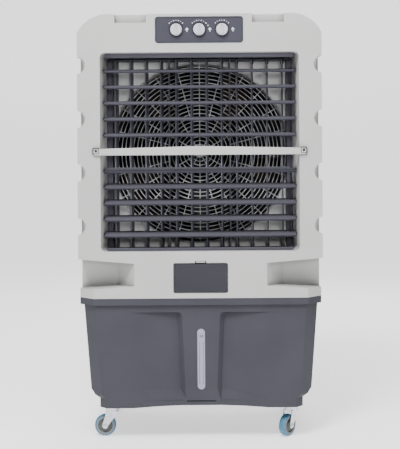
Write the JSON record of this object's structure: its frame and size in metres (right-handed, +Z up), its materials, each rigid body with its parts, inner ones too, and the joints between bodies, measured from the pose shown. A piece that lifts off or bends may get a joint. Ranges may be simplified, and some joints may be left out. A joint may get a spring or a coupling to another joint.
{
  "type": "evaporative cooler",
  "caption": "Tall free-standing evaporative cooler on casters with tilting louvres, swinging vanes, an axial fan, wet pads and a water tank.",
  "frame": {"origin": "on the floor under the middle of the cooler's bounding box", "axes": "+Z up, the air outlet and controls face -Y, +X is to the right seen from the front"},
  "size_m": [0.72, 0.46, 1.26],
  "materials": {
    "light_housing": "moulded light grey ABS, fine texture",
    "dark_louvre": "moulded dark grey ABS, satin",
    "tank_grey": "moulded dark grey polypropylene, fine grain",
    "panel_grey": "moulded mid grey ABS",
    "knob_lilac": "moulded pale ABS, semi-gloss",
    "black_plastic": "black polypropylene",
    "window_clear": "frosted translucent plastic",
    "guard_wire": "welded steel wire, grey coating",
    "motor_paint": "dark enamel",
    "zinc": "bright zinc plated pressed steel",
    "tread_rubber": "blue-grey thermoplastic rubber",
    "float_blue": "foamed plastic",
    "pad_paper": "corrugated cellulose paper",
    "pipe_white": "white PVC"
  },
  "bodies": {
    "cooler_body": {"front_frame": "light_housing", "upper_housing": "light_housing", "fan_plate": "light_housing", "fan_guard": "guard_wire", "motor_bracket": "motor_paint", "fan_motor": "motor_paint", "vane_frame": "dark_louvre", "swing_motor": "motor_paint", "crossbar": "light_housing", "control_panel": "panel_grey", "water_tank": "tank_grey", "level_window": "window_clear", "water_pump": "black_plastic", "water_line": "pipe_white"},
    "fan": {"fan_impeller": "black_plastic"},
    "louvre_1": {"louvre_1": "dark_louvre"},
    "louvre_2": {"louvre_2": "dark_louvre"},
    "louvre_3": {"louvre_3": "dark_louvre"},
    "louvre_4": {"louvre_4": "dark_louvre"},
    "louvre_5": {"louvre_5": "dark_louvre"},
    "louvre_6": {"louvre_6": "dark_louvre"},
    "louvre_7": {"louvre_7": "dark_louvre"},
    "louvre_8": {"louvre_8": "dark_louvre"},
    "louvre_9": {"louvre_9": "dark_louvre"},
    "louvre_10": {"louvre_10": "dark_louvre"},
    "vane_1": {"vane_1": "dark_louvre"},
    "vane_2": {"vane_2": "dark_louvre"},
    "vane_3": {"vane_3": "dark_louvre"},
    "vane_4": {"vane_4": "dark_louvre"},
    "vane_5": {"vane_5": "dark_louvre"},
    "vane_6": {"vane_6": "dark_louvre"},
    "vane_7": {"vane_7": "dark_louvre"},
    "vane_8": {"vane_8": "dark_louvre"},
    "vane_9": {"vane_9": "dark_louvre"},
    "vane_10": {"vane_10": "dark_louvre"},
    "vane_11": {"vane_11": "dark_louvre"},
    "vane_12": {"vane_12": "dark_louvre"},
    "louvre_link_upper": {"louvre_link_upper": "dark_louvre"},
    "louvre_link_lower": {"louvre_link_lower": "dark_louvre"},
    "vane_link": {"vane_link": "dark_louvre"},
    "speed_knob": {"speed_knob": "knob_lilac"},
    "cool_knob": {"cool_knob": "knob_lilac"},
    "swing_knob": {"swing_knob": "knob_lilac"},
    "fill_door": {"fill_door": "panel_grey"},
    "level_float": {"level_float": "float_blue"},
    "drain_cap": {"drain_cap": "black_plastic"},
    "left_filter": {"left_grille": "light_housing", "left_pad": "pad_paper"},
    "right_filter": {"right_grille": "light_housing", "right_pad": "pad_paper"},
    "rear_filter": {"rear_grille": "light_housing", "rear_pad": "pad_paper"},
    "front_left_fork": {"front_left_fork": "zinc"},
    "front_left_wheel": {"front_left_wheel": "tread_rubber"},
    "front_right_fork": {"front_right_fork": "zinc"},
    "front_right_wheel": {"front_right_wheel": "tread_rubber"},
    "rear_left_fork": {"rear_left_fork": "zinc"},
    "rear_left_wheel": {"rear_left_wheel": "tread_rubber"},
    "rear_right_fork": {"rear_right_fork": "zinc"},
    "rear_right_wheel": {"rear_right_wheel": "tread_rubber"}
  },
  "joints": [
    {"name": "fan_spin", "type": "hinge", "parent": "cooler_body", "child": "fan", "pos_m": [0, -0.02, 0.85375], "axis": [0, 1, 0], "continuous": true},
    {"name": "louvre_1_tilt", "type": "hinge", "parent": "cooler_body", "child": "louvre_1", "pos_m": [0, -0.165, 0.90675], "axis": [1, 0, 0], "range_deg": [-55.5, 24.5]},
    {"name": "louvre_2_tilt", "type": "hinge", "parent": "cooler_body", "child": "louvre_2", "pos_m": [0, -0.165, 0.95456], "axis": [1, 0, 0], "range_deg": [-55.5, 24.5]},
    {"name": "louvre_3_tilt", "type": "hinge", "parent": "cooler_body", "child": "louvre_3", "pos_m": [0, -0.165, 1.00238], "axis": [1, 0, 0], "range_deg": [-55.5, 24.5]},
    {"name": "louvre_4_tilt", "type": "hinge", "parent": "cooler_body", "child": "louvre_4", "pos_m": [0, -0.165, 1.05019], "axis": [1, 0, 0], "range_deg": [-55.5, 24.5]},
    {"name": "louvre_5_tilt", "type": "hinge", "parent": "cooler_body", "child": "louvre_5", "pos_m": [0, -0.165, 1.098], "axis": [1, 0, 0], "range_deg": [-55.5, 24.5]},
    {"name": "louvre_link_upper_swing", "type": "hinge", "parent": "louvre_3", "child": "louvre_link_upper", "pos_m": [0.274, -0.14958, 1.00665], "axis": [1, 0, 0], "range_deg": [-24.5, 55.5]},
    {"name": "louvre_6_tilt", "type": "hinge", "parent": "cooler_body", "child": "louvre_6", "pos_m": [0, -0.165, 0.80075], "axis": [1, 0, 0], "range_deg": [-60, 20]},
    {"name": "louvre_7_tilt", "type": "hinge", "parent": "cooler_body", "child": "louvre_7", "pos_m": [0, -0.165, 0.75294], "axis": [1, 0, 0], "range_deg": [-60, 20]},
    {"name": "louvre_8_tilt", "type": "hinge", "parent": "cooler_body", "child": "louvre_8", "pos_m": [0, -0.165, 0.70513], "axis": [1, 0, 0], "range_deg": [-60, 20]},
    {"name": "louvre_9_tilt", "type": "hinge", "parent": "cooler_body", "child": "louvre_9", "pos_m": [0, -0.165, 0.65731], "axis": [1, 0, 0], "range_deg": [-60, 20]},
    {"name": "louvre_10_tilt", "type": "hinge", "parent": "cooler_body", "child": "louvre_10", "pos_m": [0, -0.165, 0.6095], "axis": [1, 0, 0], "range_deg": [-60, 20]},
    {"name": "louvre_link_lower_swing", "type": "hinge", "parent": "louvre_8", "child": "louvre_link_lower", "pos_m": [0.274, -0.14996, 0.7106], "axis": [1, 0, 0], "range_deg": [-20, 60]},
    {"name": "vane_1_swing", "type": "hinge", "parent": "cooler_body", "child": "vane_1", "pos_m": [-0.253, -0.105, 0.853], "axis": [0, 0, 1], "range_deg": [-19.5, 40.5]},
    {"name": "vane_2_swing", "type": "hinge", "parent": "cooler_body", "child": "vane_2", "pos_m": [-0.207, -0.105, 0.853], "axis": [0, 0, 1], "range_deg": [-19.5, 40.5]},
    {"name": "vane_3_swing", "type": "hinge", "parent": "cooler_body", "child": "vane_3", "pos_m": [-0.161, -0.105, 0.853], "axis": [0, 0, 1], "range_deg": [-19.5, 40.5]},
    {"name": "vane_4_swing", "type": "hinge", "parent": "cooler_body", "child": "vane_4", "pos_m": [-0.115, -0.105, 0.853], "axis": [0, 0, 1], "range_deg": [-19.5, 40.5]},
    {"name": "vane_5_swing", "type": "hinge", "parent": "cooler_body", "child": "vane_5", "pos_m": [-0.069, -0.105, 0.853], "axis": [0, 0, 1], "range_deg": [-19.5, 40.5]},
    {"name": "vane_6_swing", "type": "hinge", "parent": "cooler_body", "child": "vane_6", "pos_m": [-0.023, -0.105, 0.853], "axis": [0, 0, 1], "range_deg": [-19.5, 40.5]},
    {"name": "vane_7_swing", "type": "hinge", "parent": "cooler_body", "child": "vane_7", "pos_m": [0.023, -0.105, 0.853], "axis": [0, 0, 1], "range_deg": [-19.5, 40.5]},
    {"name": "vane_8_swing", "type": "hinge", "parent": "cooler_body", "child": "vane_8", "pos_m": [0.069, -0.105, 0.853], "axis": [0, 0, 1], "range_deg": [-19.5, 40.5]},
    {"name": "vane_9_swing", "type": "hinge", "parent": "cooler_body", "child": "vane_9", "pos_m": [0.115, -0.105, 0.853], "axis": [0, 0, 1], "range_deg": [-19.5, 40.5]},
    {"name": "vane_10_swing", "type": "hinge", "parent": "cooler_body", "child": "vane_10", "pos_m": [0.161, -0.105, 0.853], "axis": [0, 0, 1], "range_deg": [-19.5, 40.5]},
    {"name": "vane_11_swing", "type": "hinge", "parent": "cooler_body", "child": "vane_11", "pos_m": [0.207, -0.105, 0.853], "axis": [0, 0, 1], "range_deg": [-19.5, 40.5]},
    {"name": "vane_12_swing", "type": "hinge", "parent": "cooler_body", "child": "vane_12", "pos_m": [0.253, -0.105, 0.853], "axis": [0, 0, 1], "range_deg": [-19.5, 40.5]},
    {"name": "vane_link_swing", "type": "hinge", "parent": "vane_6", "child": "vane_link", "pos_m": [-0.02063, -0.09222, 1.139], "axis": [0, 0, 1], "range_deg": [-40.5, 19.5]},
    {"name": "speed_knob_turn", "type": "hinge", "parent": "cooler_body", "child": "speed_knob", "pos_m": [-0.0675, -0.215, 1.2125], "axis": [0, 1, 0], "range_deg": [0, 135]},
    {"name": "cool_knob_turn", "type": "hinge", "parent": "cooler_body", "child": "cool_knob", "pos_m": [0, -0.215, 1.2125], "axis": [0, 1, 0], "range_deg": [0, 90]},
    {"name": "swing_knob_turn", "type": "hinge", "parent": "cooler_body", "child": "swing_knob", "pos_m": [0.0675, -0.215, 1.2125], "axis": [0, 1, 0], "range_deg": [0, 90]},
    {"name": "fill_door_open", "type": "hinge", "parent": "cooler_body", "child": "fill_door", "pos_m": [0, -0.21295, 0.44275], "axis": [1, 0, 0], "range_deg": [0, 60]},
    {"name": "left_filter_pull", "type": "slide", "parent": "cooler_body", "child": "left_filter", "axis": [-1, 0, 0], "range_m": [0, 0.12]},
    {"name": "right_filter_pull", "type": "slide", "parent": "cooler_body", "child": "right_filter", "axis": [1, 0, 0], "range_m": [0, 0.12]},
    {"name": "rear_filter_pull", "type": "slide", "parent": "cooler_body", "child": "rear_filter", "axis": [0, 1, 0], "range_m": [0, 0.12]},
    {"name": "float_rise", "type": "slide", "parent": "cooler_body", "child": "level_float", "axis": [0, -0.0509, 0.9987], "range_m": [0, 0.16]},
    {"name": "drain_cap_pull", "type": "slide", "parent": "cooler_body", "child": "drain_cap", "axis": [0, 1, 0], "range_m": [0, 0.04]},
    {"name": "front_left_swivel", "type": "hinge", "parent": "cooler_body", "child": "front_left_fork", "pos_m": [-0.27, -0.139, 0.085], "axis": [0, 0, 1], "continuous": true},
    {"name": "front_left_roll", "type": "hinge", "parent": "front_left_fork", "child": "front_left_wheel", "pos_m": [-0.2905, -0.139, 0.0325], "axis": [0, -1, 0], "continuous": true},
    {"name": "front_right_swivel", "type": "hinge", "parent": "cooler_body", "child": "front_right_fork", "pos_m": [0.27, -0.139, 0.085], "axis": [0, 0, 1], "continuous": true},
    {"name": "front_right_roll", "type": "hinge", "parent": "front_right_fork", "child": "front_right_wheel", "pos_m": [0.2571, -0.15493, 0.0325], "axis": [0.7771, -0.6293, 0], "continuous": true},
    {"name": "rear_left_swivel", "type": "hinge", "parent": "cooler_body", "child": "rear_left_fork", "pos_m": [-0.27, 0.16, 0.085], "axis": [0, 0, 1], "continuous": true},
    {"name": "rear_left_roll", "type": "hinge", "parent": "rear_left_fork", "child": "rear_left_wheel", "pos_m": [-0.28775, 0.17025, 0.0325], "axis": [-0.5, -0.866, 0], "continuous": true},
    {"name": "rear_right_swivel", "type": "hinge", "parent": "cooler_body", "child": "rear_right_fork", "pos_m": [0.27, 0.16, 0.085], "axis": [0, 0, 1], "continuous": true},
    {"name": "rear_right_roll", "type": "hinge", "parent": "rear_right_fork", "child": "rear_right_wheel", "pos_m": [0.28926, 0.16701, 0.0325], "axis": [-0.342, 0.9397, 0], "continuous": true}
  ],
  "couplings": [
    {"joint": "louvre_1_tilt", "follows": "louvre_3_tilt", "ratio": 1},
    {"joint": "louvre_2_tilt", "follows": "louvre_3_tilt", "ratio": 1},
    {"joint": "louvre_4_tilt", "follows": "louvre_3_tilt", "ratio": 1},
    {"joint": "louvre_5_tilt", "follows": "louvre_3_tilt", "ratio": 1},
    {"joint": "louvre_link_upper_swing", "follows": "louvre_3_tilt", "ratio": -1},
    {"joint": "louvre_6_tilt", "follows": "louvre_8_tilt", "ratio": 1},
    {"joint": "louvre_7_tilt", "follows": "louvre_8_tilt", "ratio": 1},
    {"joint": "louvre_9_tilt", "follows": "louvre_8_tilt", "ratio": 1},
    {"joint": "louvre_10_tilt", "follows": "louvre_8_tilt", "ratio": 1},
    {"joint": "louvre_link_lower_swing", "follows": "louvre_8_tilt", "ratio": -1},
    {"joint": "vane_1_swing", "follows": "vane_6_swing", "ratio": 1},
    {"joint": "vane_2_swing", "follows": "vane_6_swing", "ratio": 1},
    {"joint": "vane_3_swing", "follows": "vane_6_swing", "ratio": 1},
    {"joint": "vane_4_swing", "follows": "vane_6_swing", "ratio": 1},
    {"joint": "vane_5_swing", "follows": "vane_6_swing", "ratio": 1},
    {"joint": "vane_7_swing", "follows": "vane_6_swing", "ratio": 1},
    {"joint": "vane_8_swing", "follows": "vane_6_swing", "ratio": 1},
    {"joint": "vane_9_swing", "follows": "vane_6_swing", "ratio": 1},
    {"joint": "vane_10_swing", "follows": "vane_6_swing", "ratio": 1},
    {"joint": "vane_11_swing", "follows": "vane_6_swing", "ratio": 1},
    {"joint": "vane_12_swing", "follows": "vane_6_swing", "ratio": 1},
    {"joint": "vane_link_swing", "follows": "vane_6_swing", "ratio": -1}
  ]
}
